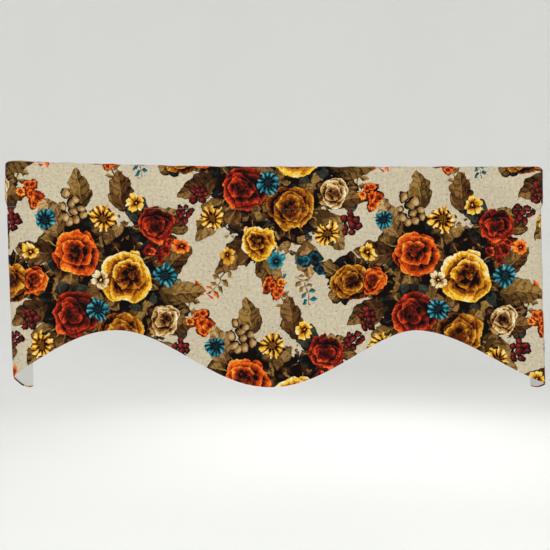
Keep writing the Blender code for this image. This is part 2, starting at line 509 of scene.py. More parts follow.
def new_piece(name, points, faces, uv=None):
    """A mesh object at the origin; uv holds one pair for each point."""
    mesh = bpy.data.meshes.new(name)
    mesh.from_pydata(points.tolist(), [], faces)
    if uv is not None:
        layer = mesh.uv_layers.new(name="cloth")
        corner_points = np.empty(len(mesh.loops), dtype=np.int32)
        mesh.loops.foreach_get("vertex_index", corner_points)
        layer.data.foreach_set("uv", uv[corner_points].astype(np.float32).ravel())
    mesh.shade_smooth()
    return new_object(name, mesh)


def grid_faces(rows, columns):
    """Quads of a grid of points numbered row by row."""
    corners = np.arange(rows * columns).reshape(rows, columns)
    return np.stack(
        (corners[:-1, :-1], corners[:-1, 1:], corners[1:, 1:], corners[1:, :-1]), axis=-1)


def new_cloth(name, points, uv, thickness, cut=None):
    """A sheet through a grid of points, less the quads that are cut out, thickened towards its
    back and rounded at its rim; and which of the points it uses."""
    quads = grid_faces(*points.shape[:2])
    quads = quads.reshape(-1, 4) if cut is None else quads[~cut]
    used, faces = np.unique(quads, return_inverse=True)
    cloth = new_piece(name, points.reshape(-1, 3)[used], faces.reshape(quads.shape).tolist(),
                      uv.reshape(-1, 2)[used])
    with_settings(cloth.modifiers.new("Thickness", "SOLIDIFY"), thickness=thickness,
                  offset=-1.0, use_even_offset=True, material_offset=1)
    with_settings(cloth.modifiers.new("Rim", "BEVEL"), width=RIM_SHARE * thickness, segments=2,
                  limit_method="ANGLE", angle_limit=RIM_ANGLE, use_clamp_overlap=True)
    return cloth, used


# ---- shader arithmetic

SOCKET_KINDS = {"Place": "Vector", "Cloth": "Vector", "Colour": "Color"}
NODES_A_COLUMN = 12
NODE_WIDTH = 180
NODE_HEIGHT = 160
MIX_SOCKETS = {"FLOAT": (2, 3, 0), "VECTOR": (4, 5, 1), "RGBA": (6, 7, 2)}


def arithmetic(operation, turned=False):
    """A function that adds one kind of Math node, its inputs in reverse order if turned."""
    def add(*values):
        return math_node(operation, *(reversed(values) if turned else values))
    return add


class Value:
    """A number, vector or colour that varies over the cloth. Arithmetic on it adds nodes."""

    def __init__(self, socket):
        self.socket = socket
        self.tree = socket.id_data

    __add__ = arithmetic("ADD")
    __radd__ = arithmetic("ADD", turned=True)
    __sub__ = arithmetic("SUBTRACT")
    __rsub__ = arithmetic("SUBTRACT", turned=True)
    __mul__ = arithmetic("MULTIPLY")
    __rmul__ = arithmetic("MULTIPLY", turned=True)
    __truediv__ = arithmetic("DIVIDE")
    __pow__ = arithmetic("POWER")
    __lt__ = arithmetic("LESS_THAN")
    __gt__ = arithmetic("GREATER_THAN")
    __abs__ = arithmetic("ABSOLUTE")


sine = arithmetic("SINE")
cosine = arithmetic("COSINE")
angle_up = arithmetic("ARCTAN2")
floor = arithmetic("FLOOR")
fraction = arithmetic("FRACT")
smaller = arithmetic("MINIMUM")
larger = arithmetic("MAXIMUM")


def plug(value, socket):
    """Feeds a socket from a Value, or sets it to a plain number, vector or colour."""
    if isinstance(value, Value):
        value.tree.links.new(value.socket, socket)
    elif socket.type == "RGBA":
        socket.default_value = (*value[:3], 1.0)
    else:
        socket.default_value = value


def feed(node, inputs):
    """Feeds a node's inputs, each found by its name or its rank."""
    for socket, value in inputs.items():
        plug(value, node.inputs[socket])


def add_node(kind, *first_inputs, tree=None, inputs=None, **settings):
    """A node with these inputs and settings, placed below the last one in the tree of the first
    Value among its inputs, or in a given tree."""
    inputs = {**dict(enumerate(first_inputs)), **(inputs or {})}
    tree = tree or next(value.tree for value in inputs.values() if isinstance(value, Value))
    node = with_settings(tree.nodes.new("ShaderNode" + kind), **settings)
    column, row = divmod(len(tree.nodes), NODES_A_COLUMN)
    node.location = (NODE_WIDTH * column, -NODE_HEIGHT * row)
    feed(node, inputs)
    return node


def math_node(operation, *values, clamp=False):
    """A Math node of up to three values."""
    node = add_node("Math", *values, operation=operation, use_clamp=clamp)
    return Value(node.outputs[0])


def vector_node(operation, *values, out=0):
    """A Vector Math node of up to three values."""
    return Value(add_node("VectorMath", *values, operation=operation).outputs[out])


def length(vector):
    """Length of a vector."""
    return vector_node("LENGTH", vector, out="Value")


def ramp(value, start, end):
    """0 at start, 1 at end, straight between and held beyond; start may be the larger."""
    scale = 1.0 / (end - start)
    return math_node("MULTIPLY_ADD", value, scale, -start * scale, clamp=True)


def split(vector):
    """The vector's three parts."""
    return [Value(out) for out in add_node("SeparateXYZ", vector).outputs]


def joined(x, y, z=0.0):
    """A vector of three parts."""
    return Value(add_node("CombineXYZ", x, y, z).outputs[0])


def blend(factor, first, second, kind="FLOAT", how="MIX"):
    """The first value where the factor is 0, the second where it is 1."""
    first_in, second_in, out = MIX_SOCKETS[kind]
    node = add_node("Mix", factor, inputs={first_in: first, second_in: second},
                    data_type=kind, blend_type=how)
    return Value(node.outputs[out])


def shaded(colour, shade):
    """A colour made darker or lighter by a shade."""
    return blend(1.0, colour, joined(shade, shade, shade), "RGBA", "MULTIPLY")


def noise(place, scale, detail=2.0, roughness=0.5, out="Fac", kind="2D"):
    """Smooth noise over a place."""
    inputs = {"Vector": place, "Scale": scale, "Detail": detail, "Roughness": roughness}
    return Value(add_node("TexNoise", inputs=inputs, noise_dimensions=kind).outputs[out])


def cells(place, scale, randomness, kind="2D"):
    """Distance to the nearest of scattered points, its place and a random number of its own."""
    inputs = {"Vector": place, "Scale": scale, "Randomness": randomness}
    found = add_node("TexVoronoi", inputs=inputs, voronoi_dimensions=kind).outputs
    return (Value(found["Distance"]), Value(found["Position"]),
            split(Value(found["Color"]))[0])


def build_group(name, inputs, outputs, work):
    """A new shader group whose outputs are what the function makes of its inputs. Both are
    given by their names in one string; those not of a kind listed above are numbers."""
    tree = bpy.data.node_groups.new(name, "ShaderNodeTree")
    for in_out, labels in (("INPUT", inputs), ("OUTPUT", outputs)):
        for label in labels.split():
            kind = "NodeSocket" + SOCKET_KINDS.get(label, "Float")
            tree.interface.new_socket(name=label, in_out=in_out, socket_type=kind)
    entry = tree.nodes.new("NodeGroupInput")
    leave = tree.nodes.new("NodeGroupOutput")
    for value, socket in zip(work(*(Value(out) for out in entry.outputs[:-1])), leave.inputs):
        plug(value, socket)
    return tree


def shader_group(name, inputs, outputs):
    """Makes a shader group of a function of Values. The group is built at its first use, and
    each use places it with inputs of its own."""
    def wrap(work):
        def place_group(*values):
            group = bpy.data.node_groups.get(name) or build_group(name, inputs, outputs, work)
            node = add_node("Group", *values, node_tree=group)
            return [Value(out) for out in node.outputs]
        return place_group
    return wrap


# ---- print: motifs
#
# Each motif lies in a square or circle of half width 1 round its middle. Its tone, from 0 to
# about 1, picks the ink; its mask is 1 where it covers the cloth.

PETAL_PITCH = 3.7
PETAL_RIM = 3.28
LEAF_PITCH = 1.25
LEAF_RIM = 1.72
THICKET_HALVES = (0.128, 0.158)


def strokes(along, across):
    """Brush strokes of either sign, long one way and narrow the other."""
    return noise(joined(along, across), 1.0) - 0.5


@shader_group("Rose", "Place Seed", "Tone Mask")
def rose(place, seed):
    """A full-blown rose. Its petals are the cells of points scattered over a cylinder whose
    height is the distance from the heart; each is light at its outer rim and dark at its foot."""
    x, y, _ = split(place)
    reach = length(place)
    ring = reach * (1.0 + 0.22 * (y / larger(reach, 0.05)))
    out_x, out_y, _ = split(vector_node("NORMALIZE", place))
    height = ring * PETAL_PITCH + seed * 29.0
    _, petal, shade = cells(joined(out_x * 1.15, out_y * 1.15, height), 1.0, 0.85, "3D")
    _, _, petal_height = split(petal)
    stroke = noise(joined(out_x * 5.0, out_y * 5.0, reach * 2.6), 1.2, kind="3D") - 0.5
    tone = 0.53 + (height - petal_height) * 0.84 + (shade - 0.5) * 0.34 + stroke * 0.9
    tone = (tone + (y * 0.16 - x * 0.10)) * (ramp(ring, 0.10, 0.50) * 0.75 + 0.25)
    return tone, petal_height - seed * 29.0 < PETAL_RIM


@shader_group("Daisy", "Place Seed", "Tone Mask")
def daisy(place, seed):
    """Narrow petals of uneven length round a dark eye with a ring of dots."""
    x, y, _ = split(place)
    reach = length(place)
    around = angle_up(y, x) * (11.0 / TURN) + seed * 7.0
    spoke = 1.0 - abs(fraction(around) - 0.5) * 2.0
    tip = 0.86 + 0.14 * sine(floor(around) * 2.4)
    belly = (reach - 0.68) * 2.7
    petal = (spoke < 0.86 - belly * belly * 0.8) * (reach < tip)
    stroke = strokes(around * 3.0, reach * 2.0)
    tone = 1.14 - spoke * 0.75 - ramp(reach, 0.62, 0.25) * 0.8 + stroke * 0.9
    eye = reach < 0.27
    dots = sine(around * 5.0) * sine(reach * 60.0)
    tone = blend(eye, tone, 0.12 + ramp(dots, 0.2, 0.5) * 0.5)
    return tone, larger(petal, eye)


@shader_group("Blossom", "Place Seed", "Tone Mask")
def blossom(place, seed):
    """Five broad notched petals round a dark star."""
    x, y, _ = split(place)
    reach = length(place)
    around = angle_up(y, x) + seed * 9.0
    stroke = strokes(around * 5.0, reach * 1.5)
    lobe = abs(cosine(around * 2.5))
    edge = 0.52 + 0.46 * (lobe ** 0.55) - 0.16 * (lobe ** 14.0)
    tone = ramp(reach, 0.16, 0.66) * 0.84 + 0.14 + stroke * 0.8
    tone = tone * (ramp(lobe * reach, 0.03, 0.13) * 0.8 + 0.2)
    tone = blend(reach < 0.20 + 0.10 * cosine(around * 5.0), tone, 0.05)
    tone = blend(reach < 0.09, tone, 0.85)
    return tone, reach < edge


def bunched(place, seed, scale, randomness, size):
    """Own coordinates of the nearest of many small things in a bunch, its random number, and
    where the bunch has one."""
    moved = vector_node("ADD", place, joined(seed * 31.0, seed * 17.0))
    _, centre, shade = cells(moved, scale, randomness)
    own = vector_node("SUBTRACT", moved, centre)
    held = length(vector_node("SUBTRACT", place, own)) < 0.80
    return vector_node("MULTIPLY", own, (1.0 / size, 1.0 / size, 0.0)), shade, held


@shader_group("Berries", "Place Seed", "Tone Mask")
def berries(place, seed):
    """A bunch of berries, each dark at its rim with a light spot."""
    own, shade, held = bunched(place, seed, 2.2, 0.45, 0.25)
    gap = length(own)
    spot = length(vector_node("ADD", own, (0.25, -0.3, 0.0)))
    tone = 0.92 + shade * 0.14 - spot * 0.62 - ramp(gap, 0.74, 0.96) * 0.5
    return tone, (gap < 1.14) * held


@shader_group("Florets", "Place Seed", "Under Tone Mask")
def florets(place, seed):
    """A head of small crowded blossoms, with the dark mass that shows between them."""
    own, shade, held = bunched(place, seed, 1.8, 0.85, 0.32)
    tone, mask = blossom(own, shade)
    under = (length(own) < 1.3) * held
    return under, tone * (0.44 + 0.70 * shade), mask * held


@shader_group("Leaf", "Place Seed", "Tone Mask")
def leaf(place, seed):
    """A leaf along X with shallow lobes, one half lit, with a light rib and slanting veins."""
    x, y, _ = split(place)
    side = abs(y)
    base = math_node("ADD", x * 0.5, 0.5, clamp=True)
    body = sine((base ** 0.78) * math.pi)
    run = base * 6.0 - side * 1.3
    lobes = abs(sine(run * math.pi * 0.5))
    edge = larger(body, 0.0) ** 0.8 * (0.84 + 0.16 * lobes)
    stroke = strokes(run * 0.8 + seed * 40.0, side * 4.0)
    vein = ramp(fraction(run + stroke * 0.5), 0.70, 0.86)
    tone = 0.50 + ramp(y, -0.03, 0.03) * 0.30 - vein * 0.26 + stroke * 0.8
    tone = blend(side < 0.035, tone, 0.9)
    tone = tone * (ramp(edge - side, 0.0, 0.08) * 0.5 + 0.5) * (ramp(x, -0.9, -0.1) * 0.6 + 0.4)
    return tone, side < edge


@shader_group("Sprig", "Place", "Tone Mask Bud")
def sprig(place):
    """A bowed stem along X with pairs of slanting leaflets, and buds towards its tip."""
    x, y, _ = split(place)
    off = abs(y - 0.30 * cosine(x * 1.5) + 0.15)
    inside = abs(x) < 0.95
    stem = (off < 0.032) * inside
    cell = fraction(x * 2.6 + off * -1.1) - 0.5
    leaflet = (abs(cell) < 0.40 - abs(off - 0.24) * 1.9) * (off < 0.46) * inside
    tone = 0.45 + ramp(cell, -0.1, 0.1) * 0.4
    return tone, larger(stem, leaflet), leaflet * (x > 0.25)


@shader_group("Leaf ruff", "Place Seed", "Tone Mask Own")
def ruff(place, seed):
    """Leaves that stand out all round from behind a flower: one to each cell of points that are
    scattered over the same kind of cylinder as the petals, with dark gaps between them."""
    reach = length(place)
    out_x, out_y, _ = split(vector_node("NORMALIZE", place))
    height = reach * LEAF_PITCH + seed * 41.0
    gap, centre, shade = cells(joined(out_x * 2.1, out_y * 2.1, height), 1.0, 0.9, "3D")
    leaf_x, leaf_y, leaf_height = split(centre)
    side = out_x * leaf_y - out_y * leaf_x
    run = height * 5.0 - abs(side) * 3.0
    stroke = strokes(run * 0.8, side * 6.0)
    tone = 0.44 + ramp(side, -0.04, 0.04) * 0.30 - ramp(fraction(run), 0.68, 0.84) * 0.2
    tone = (tone + stroke * 0.8) * ramp(gap, 0.74, 0.54) * ramp(reach, 0.76, 1.18)
    tone = blend((abs(side) < 0.05) * (gap < 0.5), tone, 0.8)
    near = leaf_height - seed * 41.0 < LEAF_RIM
    return tone, near * (gap < 0.78 - ramp(reach, 1.2, 1.6) * 0.12), shade


@shader_group("Thicket", "Place Ragged", "Tone Mask Own")
def thicket(place, ragged):
    """Small leaves crowded at all angles, near black between them: each lies in the cell of a
    scattered point and has its own heading. They fill an oval with an uneven rim."""
    _, centre, shade = cells(place, 34.0, 1.0)
    x, y, _ = split(vector_node("SUBTRACT", place, centre))
    heading = shade * 25.0
    along = (x * cosine(heading) + y * sine(heading)) * 52.0
    side = abs(y * cosine(heading) - x * sine(heading)) * 52.0
    edge = 0.62 - along * along * 0.45
    run = along * 4.0 - side * 2.5
    stroke = strokes(run * 0.7 + shade * 30.0, side * 5.0)
    tone = 0.62 + shade * 0.20 - ramp(fraction(run), 0.66, 0.84) * 0.24 + stroke * 0.9
    tone = blend(side < 0.05, tone, 0.72) * ramp(edge - side, 0.0, 0.07)
    x, y, _ = split(place)
    half_x, half_y = THICKET_HALVES
    spread = length(joined(x * (1.0 / half_x), (y + 0.012) * (1.0 / half_y)))
    return tone, spread + ragged * 0.5 < 1.0, shade


# ---- print: inks

# Each family of inks holds its deep, main, light and brightest screen colour.
INKS = {
    "flame": ((112, 36, 14), (200, 66, 14), (240, 116, 34), (246, 176, 60)),
    "gold": ((116, 50, 12), (196, 124, 22), (246, 196, 58), (242, 226, 182)),
    "amber": ((96, 40, 10), (158, 90, 16), (218, 154, 46), (244, 206, 92)),
    "cream": ((116, 66, 28), (186, 140, 76), (232, 210, 156), (244, 238, 216)),
    "red": ((74, 20, 14), (134, 32, 18), (204, 60, 24), (240, 112, 44)),
    "wine": ((48, 16, 16), (86, 24, 24), (136, 42, 36), (186, 84, 60)),
    "teal": ((28, 40, 44), (18, 76, 92), (36, 124, 138), (104, 178, 178)),
    "olive": ((72, 50, 22), (118, 86, 40), (158, 122, 66), (186, 152, 98)),
    "brown": ((58, 34, 14), (94, 62, 30), (138, 100, 52), (168, 130, 80)),
    "slate": ((26, 28, 28), (44, 46, 40), (66, 66, 54), (104, 98, 76)),
    "tan": ((108, 74, 36), (158, 120, 70), (200, 166, 116), (226, 200, 156)),
}
INK_NUMBER = {name: (rank + 0.5) / len(INKS) for rank, name in enumerate(INKS)}
NIGHT = screen_colour(16, 10, 8)
TONE_STEPS = ((0.16, 0.21), (0.42, 0.47), (0.71, 0.76), (1.02, 1.06))


def ink_shelf(number, colours):
    """The screen colour that a number from 0 to 1 picks from a row of equal steps."""
    node = add_node("ValToRGB", number)
    node.color_ramp.interpolation = "CONSTANT"
    stops = node.color_ramp.elements
    for rank, colour in enumerate(colours):
        stop = stops[rank] if rank < 2 else stops.new(rank / len(colours))
        stop.position = rank / len(colours)
        stop.color = (*screen_colour(*colour), 1.0)
    return Value(node.outputs["Color"])


@shader_group("Inks", "Tone Ink", "Colour")
def inked(tone, number):
    """Five flat inks of one family, from near black up to its brightest one."""
    colour = NIGHT
    for step, inks in zip(TONE_STEPS, zip(*INKS.values())):
        colour = blend(ramp(tone, *step), colour, ink_shelf(number, inks), "RGBA")
    return [colour]


# ---- print: layout of one repeat

COLUMN = 0.336
REPEAT = 0.500

Motif = namedtuple("Motif", "x y half_length half_width turn ink")


def motifs(*rows):
    """Round motifs, from rows of place, size, turn in degrees and ink."""
    return [Motif(x, y, size, size, turn, ink) for x, y, size, turn, ink in rows]


ROSES = motifs(
    (-0.058, 0.084, 0.050, 15, "flame"),
    (0.050, 0.040, 0.057, -25, "gold"),
    (-0.068, -0.046, 0.046, 80, "red"),
    (0.036, -0.090, 0.047, 200, "amber"),
    (0.100, 0.126, 0.036, 130, "red"),
    (-0.036, -0.146, 0.040, 40, "gold"),
    (0.124, -0.050, 0.032, 300, "cream"),
    (-0.134, 0.022, 0.032, 250, "flame"),
    (0.152, -0.222, 0.040, 10, "amber"),
)
DAISIES = motifs(
    (-0.002, 0.146, 0.029, 0, "gold"),
    (-0.122, -0.104, 0.028, 20, "gold"),
    (0.106, -0.134, 0.027, 50, "gold"),
    (0.124, 0.034, 0.025, 10, "teal"),
    (-0.010, -0.034, 0.024, 33, "teal"),
    (-0.116, 0.142, 0.022, 70, "teal"),
)
BLOSSOMS = motifs(
    (-0.008, 0.026, 0.020, 0, "cream"),
    (0.062, 0.174, 0.020, 30, "gold"),
    (-0.090, -0.178, 0.020, 12, "amber"),
    (0.006, -0.186, 0.019, 44, "teal"),
    (0.152, 0.090, 0.018, 5, "flame"),
    (-0.146, 0.080, 0.018, 80, "gold"),
)
BUNCHES = motifs(
    (-0.148, -0.052, 0.026, 20, "wine"),
    (0.158, 0.154, 0.024, 140, "wine"),
    (-0.062, 0.166, 0.036, 200, "tan"),
    (0.152, -0.112, 0.028, 10, "wine"),
)
FLORETS = motifs(
    (0.080, -0.184, 0.036, 70, "teal"),
    (0.004, -0.236, 0.030, 310, "flame"),
    (-0.146, 0.190, 0.030, 100, "flame"),
    (0.112, 0.086, 0.030, 200, "red"),
)
SPRIGS = motifs(
    (-0.156, 0.235, 0.045, 60, "flame"),
    (0.020, 0.248, 0.042, 110, "teal"),
    (-0.116, -0.235, 0.040, 230, "flame"),
    (0.062, -0.245, 0.034, 300, "teal"),
)

LEAF_SPOKES = (
    (0, 0.156, 0.046, "olive"), (24, 0.156, 0.040, "brown"), (52, 0.178, 0.044, "olive"),
    (80, 0.202, 0.042, "brown"), (103, 0.208, 0.040, "olive"), (126, 0.182, 0.044, "tan"),
    (150, 0.156, 0.042, "brown"), (172, 0.152, 0.038, "olive"), (196, 0.156, 0.044, "brown"),
    (222, 0.170, 0.042, "olive"), (246, 0.198, 0.044, "brown"), (268, 0.216, 0.042, "olive"),
    (290, 0.198, 0.040, "tan"), (312, 0.174, 0.046, "olive"), (336, 0.156, 0.040, "brown"),
)
LEAF_SLENDER = 0.62
LEAF_SWAY = 26.0
GOLDEN_TURN = 2.4

WARP_SCALE = 22.0
WARP_REACH = 0.022
PATCH_SCALE = 55.0
PATCH_DEPTH = 0.45
RAGGED_SCALE = 90.0
LEAVES_REACH = 1.75
FAINT_TIE = 1e-9


def outer_leaves():
    """Leaves that fan out from behind the bunch, each turned a little off its spoke, from rows
    of heading in degrees, reach, size and ink."""
    leaves = []
    for rank, (heading, reach, size, ink) in enumerate(LEAF_SPOKES):
        x, y = reach * math.cos(math.radians(heading)), reach * math.sin(math.radians(heading))
        turn = heading + LEAF_SWAY * math.sin(rank * GOLDEN_TURN)
        leaves.append(Motif(x, y, size, size * LEAF_SLENDER, turn, ink))
    return leaves


def copies_in_tile(motif, grow):
    """Centres of a motif that touch the tile, its own and those of neighbouring repeats."""
    reach = grow * max(motif.half_length, motif.half_width)
    for column, row in itertools.product((-1, 0, 1), repeat=2):
        x = motif.x + column * COLUMN
        y = motif.y + (row + 0.5 * abs(column)) * REPEAT
        if abs(x) - reach < 0.5 * COLUMN and abs(y) - reach < 0.5 * REPEAT:
            yield x, y, 0.0


def nearest(place, group, grow=1.0):
    """Own coordinates and ink number of the group's nearest motif, measured in its own size.
    A motif may reach past its size by as much as grow."""
    best = None
    for motif in group:
        turn = (0.0, 0.0, math.radians(motif.turn))
        half = (motif.half_length, motif.half_width, 1.0)
        for centre in copies_in_tile(motif, grow):
            node = add_node("Mapping", place, centre, turn, half, vector_type="TEXTURE")
            own = Value(node.outputs[0])
            gap = length(own)
            number = INK_NUMBER[motif.ink]
            if best is None:
                best, local, ink = gap, own, number
                continue
            closer = gap < best
            local = blend(closer, local, own, "VECTOR")
            ink = blend(closer, ink, number)
            best = smaller(gap, best)
    return local, ink


def tile_place(cloth):
    """Place within one half-drop repeat, each second column half a repeat higher."""
    u, v, _ = split(cloth)
    column = floor(u * (1.0 / COLUMN) + 0.5)
    v = v + fraction(column * 0.5) * REPEAT
    return joined(u - column * COLUMN, v - floor(v * (1.0 / REPEAT) + 0.5) * REPEAT)


def leaf_ink(own, slate_to, low, change, high):
    """Slate for the lowest of the leaves' own numbers, then one ink, then another."""
    ink = blend(own > change, INK_NUMBER[low], INK_NUMBER[high])
    return blend(own < slate_to, ink, INK_NUMBER["slate"])


class Print:
    """The inks laid so far: their colour and where the cloth is covered."""

    def __init__(self, place, patch):
        self.place = place
        self.patch = patch
        self.colour = NIGHT
        self.cover = 0.0

    def nearest(self, group, grow=1.0):
        """Own coordinates and ink number of the nearest motif. The place is tied by next to
        nothing to the layers below, so it is worked out after them: the shader stays small."""
        tie = joined(self.cover * FAINT_TIE, 0.0)
        return nearest(vector_node("ADD", self.place, tie), group, grow)

    def lay(self, mask, colour):
        """Lays a colour over what is there."""
        self.colour = blend(mask, self.colour, colour, "RGBA")
        self.cover = larger(self.cover, mask)

    def lay_tone(self, tone, mask, ink):
        """Lays a motif in the inks that its tone asks for."""
        self.lay(mask, inked(tone + self.patch, ink)[0])

    def lay_motifs(self, draw, group, grow=1.0):
        """Lays the nearest motif of a group; its ink's number is its seed too."""
        local, ink = self.nearest(group, grow)
        self.lay_tone(*draw(local, ink), ink)


@shader_group("Flower print", "Cloth", "Colour Cover")
def flower_print(cloth):
    """The whole print, a half-drop repeat of a bunch of flowers, from cloth metres."""
    wobble = noise(cloth, WARP_SCALE, 4.0, 0.6, out="Color")
    wobble = vector_node("ADD", wobble, (-0.5, -0.5, -0.5))
    wobble = vector_node("MULTIPLY", wobble, (WARP_REACH, WARP_REACH, 0.0))
    place = tile_place(vector_node("ADD", cloth, wobble))
    layers = Print(place, (noise(cloth, PATCH_SCALE) - 0.5) * PATCH_DEPTH)
    ragged = noise(cloth, RAGGED_SCALE) - 0.5

    tone, mask, own = thicket(place, ragged)
    layers.lay_tone(tone, mask, leaf_ink(own, 0.30, "brown", 0.52, "olive"))
    local, ink = layers.nearest(SPRIGS)
    tone, mask, bud = sprig(local)
    layers.lay_tone(tone, mask, blend(bud, INK_NUMBER["olive"], ink))

    rose_place, rose_ink = layers.nearest(ROSES, LEAVES_REACH)
    layers.lay(length(rose_place) + ragged * 0.5 < 1.09, NIGHT)
    tone, mask, own = ruff(rose_place, rose_ink)
    layers.lay_tone(tone, mask, leaf_ink(own, 0.24, "olive", 0.50, "brown"))
    layers.lay_motifs(leaf, outer_leaves())

    layers.lay_motifs(berries, BUNCHES, 1.1)
    local, ink = layers.nearest(FLORETS, 1.1)
    under, tone, mask = florets(local, ink)
    layers.lay_tone(0.28 + ragged * 0.8, under, ink)
    layers.lay_tone(tone, mask, ink)
    layers.lay_tone(*rose(rose_place, rose_ink), rose_ink)

    local, ink = layers.nearest(DAISIES, 1.2)
    layers.lay(length(local) + ragged * 0.3 < 0.82, NIGHT)
    layers.lay_tone(*daisy(local, ink), ink)
    layers.lay_motifs(blossom, BLOSSOMS)
    return layers.colour, layers.cover


# ---- finishes


@shader_group("Plain weave", "Cloth Pitch Slubs", "Height Slub Fade")
def plain_weave(cloth, pitch, slubs):
    """Plain weave over cloth metres: how high the threads stand, thick threads, and fading."""
    u, v, _ = split(cloth)
    sway = noise(cloth, WEAVE_SWAY_SCALE) - 0.5
    warp = sine((u / pitch + sway * 1.5) * math.pi)
    weft = sine((v / pitch + sway * 1.5) * math.pi)
    over = warp * weft
    height = larger(abs(warp) * ramp(over, -0.2, 0.2), abs(weft) * ramp(over, 0.2, -0.2))
    along, athwart = SLUB_SCALES
    thick_weft = noise(joined(u * along, v * athwart), 1.0)
    thick_warp = noise(joined(u * athwart, v * along), 1.0)
    uneven = thick_weft + thick_warp - 1.0
    gap, _, chance = cells(joined(u * FLECK_SCALES[0], v * FLECK_SCALES[1]), 1.0, 1.0)
    fleck = ramp(gap, 0.150, 0.060) * ramp(chance, 0.30, 0.90)
    slub = larger(ramp(uneven, 0.34, 0.46), fleck) * slubs
    mottle = noise(cloth, MOTTLE_SCALE) - 0.5
    fade = noise(cloth, FADE_SCALE, 3.0) + (uneven + mottle * 2.2) * slubs * 1.1
    return height + slub * 0.6, slub, fade


def new_material(name):
    """A material, with its Principled shader."""
    material = bpy.data.materials.new(name)
    material.use_nodes = True
    return material, material.node_tree.nodes["Principled BSDF"]


def cloth_metres(shader):
    """The piece's own coordinates along and down the cloth, in metres."""
    return Value(add_node("UVMap", tree=shader.id_data, uv_map="cloth").outputs["UV"])


def dress(shader, colour, roughness, sheen, height, lift):
    """Sets a cloth's finish, raised by its height times the lift in metres."""
    bump = add_node("Bump", inputs={"Strength": 1.0, "Distance": lift, "Height": height})
    feed(shader, {
        "Base Color": colour, "Roughness": roughness, "Metallic": 0.0,
        "Specular IOR Level": CLOTH_SHINE, "Sheen Weight": sheen,
        "Sheen Roughness": SHEEN_ROUGHNESS, "Normal": Value(bump.outputs["Normal"]),
    })


def linen_colour(cloth, base, slub_colour):
    """Unprinted linen: colour with slubs, fading and painted shade between threads; weave height;
    shade.
    """
    height, slub, fade = plain_weave(cloth, LINEN_PITCH, 1.0)
    # Painted shade: darker where the weave's height is low, between the threads; the fade is the
    # cloth's own uneven tone.
    shade = (0.86 + fade * 0.20) * (0.93 + height * 0.10)
    return shaded(blend(slub * 0.75, base, slub_colour, "RGBA"), shade), height, shade


def printed_cloth(colours):
    """Linen printed with flowers; the ink lies a little smoother than the bare threads."""
    material, shader = new_material("printed_cloth")
    cloth = cloth_metres(shader)
    linen, height, shade = linen_colour(cloth, colours.ground, colours.slub)
    ink, cover = flower_print(cloth)
    # The ink takes the same shade, the painted shade between the threads included.
    colour = blend(cover, linen, shaded(ink, shade), "RGBA")
    dress(shader, colour, 0.92 - cover * 0.10, 0.015, height, LINEN_LIFT)
    return material


def wrong_side_cloth(colours):
    """Back of the printed cloth: paler, with the flowers faintly through it, but in full where
    the rim shows the edge of the printed side."""
    material, shader = new_material("printed_cloth_back")
    cloth = cloth_metres(shader)
    rim = add_node("Attribute", tree=cloth.tree, attribute_type="GEOMETRY",
                   attribute_name="rim")
    # Its linen colour carries the painted shade between the threads too.
    linen, height, _ = linen_colour(cloth, colours.wrong_side, colours.slub)
    ink, cover = flower_print(cloth)
    shown = cover * larger(Value(rim.outputs["Fac"]), SHOW_THROUGH)
    dress(shader, blend(shown, linen, ink, "RGBA"), 0.92, 0.015, height, LINEN_LIFT)
    return material


def lining_finish(colours):
    """Fine plain lining, hardly slubbed, with painted shade where the weave is low between the
    threads.
    """
    material, shader = new_material("lining_cloth")
    height, slub, fade = plain_weave(cloth_metres(shader), LINING_PITCH, 0.3)
    # Painted shade: darker where the weave's height is low; the fade and the slubs are the
    # cloth's own tone.
    shade = (0.93 + fade * 0.12) * (0.96 + height * 0.06) - slub * 0.06
    dress(shader, shaded(colours.lining, shade), 0.78 + fade * 0.12, 0.04, height, LINING_LIFT)
    return material


def thread_finish(colours):
    """Two-ply sewing thread: slanting stripes round each stitch, painted shade in the grooves
    between the plies.
    """
    material, shader = new_material("sewing_thread")
    u, v, _ = split(cloth_metres(shader))
    ply = sine(u * (TURN / THREAD_TWIST) + v * TURN)
    # Painted shade: the colour darkens with the ply's sine, in the grooves between the plies,
    # where the bump sinks.
    dress(shader, shaded(colours.thread, 0.90 + ply * 0.10), 0.6, 0.05, ply, THREAD_LIFT)
    return material


def floor_finish(colour):
    """Pale matt paint with a faint mottle."""
    material, shader = new_material("studio_paint")
    place = Value(add_node("TexCoord", tree=shader.id_data).outputs["Object"])
    mottle = noise(place, 1.5, 3.0) * 0.03
    feed(shader, {"Base Color": shaded(colour, 0.98 + mottle), "Roughness": 0.9})
    return material


# ---- operators: pieces


def hand_over(piece, node, finishes):
    """Gives a piece its finishes and its body, and hides the solid that it stands for."""
    for finish in finishes:
        piece.data.materials.append(finish)
    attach(piece, BODY)
    if node:
        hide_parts(node)


class VALANCE_OT_lining(bpy.types.Operator):
    """Makes the plain lining behind the face"""

    bl_idname = "valance.make_lining"
    bl_label = "Make lining"

    def execute(self, context):
        sizes = context.scene.valance_cloth
        across, fall = lining_grid()
        depth = sizes.face_thickness + sizes.layer_gap - bulge(fall)
        depth = crease_depth(across, fall, depth, sizes) + lining_ripple(across, fall, sizes)
        cloth, _ = new_cloth("lining_cloth", hang(across, fall, depth),
                             np.stack((across, -fall), axis=-1), sizes.lining_thickness)
        finish = lining_finish(context.scene.valance_colours)
        hand_over(cloth, "lining", (finish, finish))
        return {"FINISHED"}


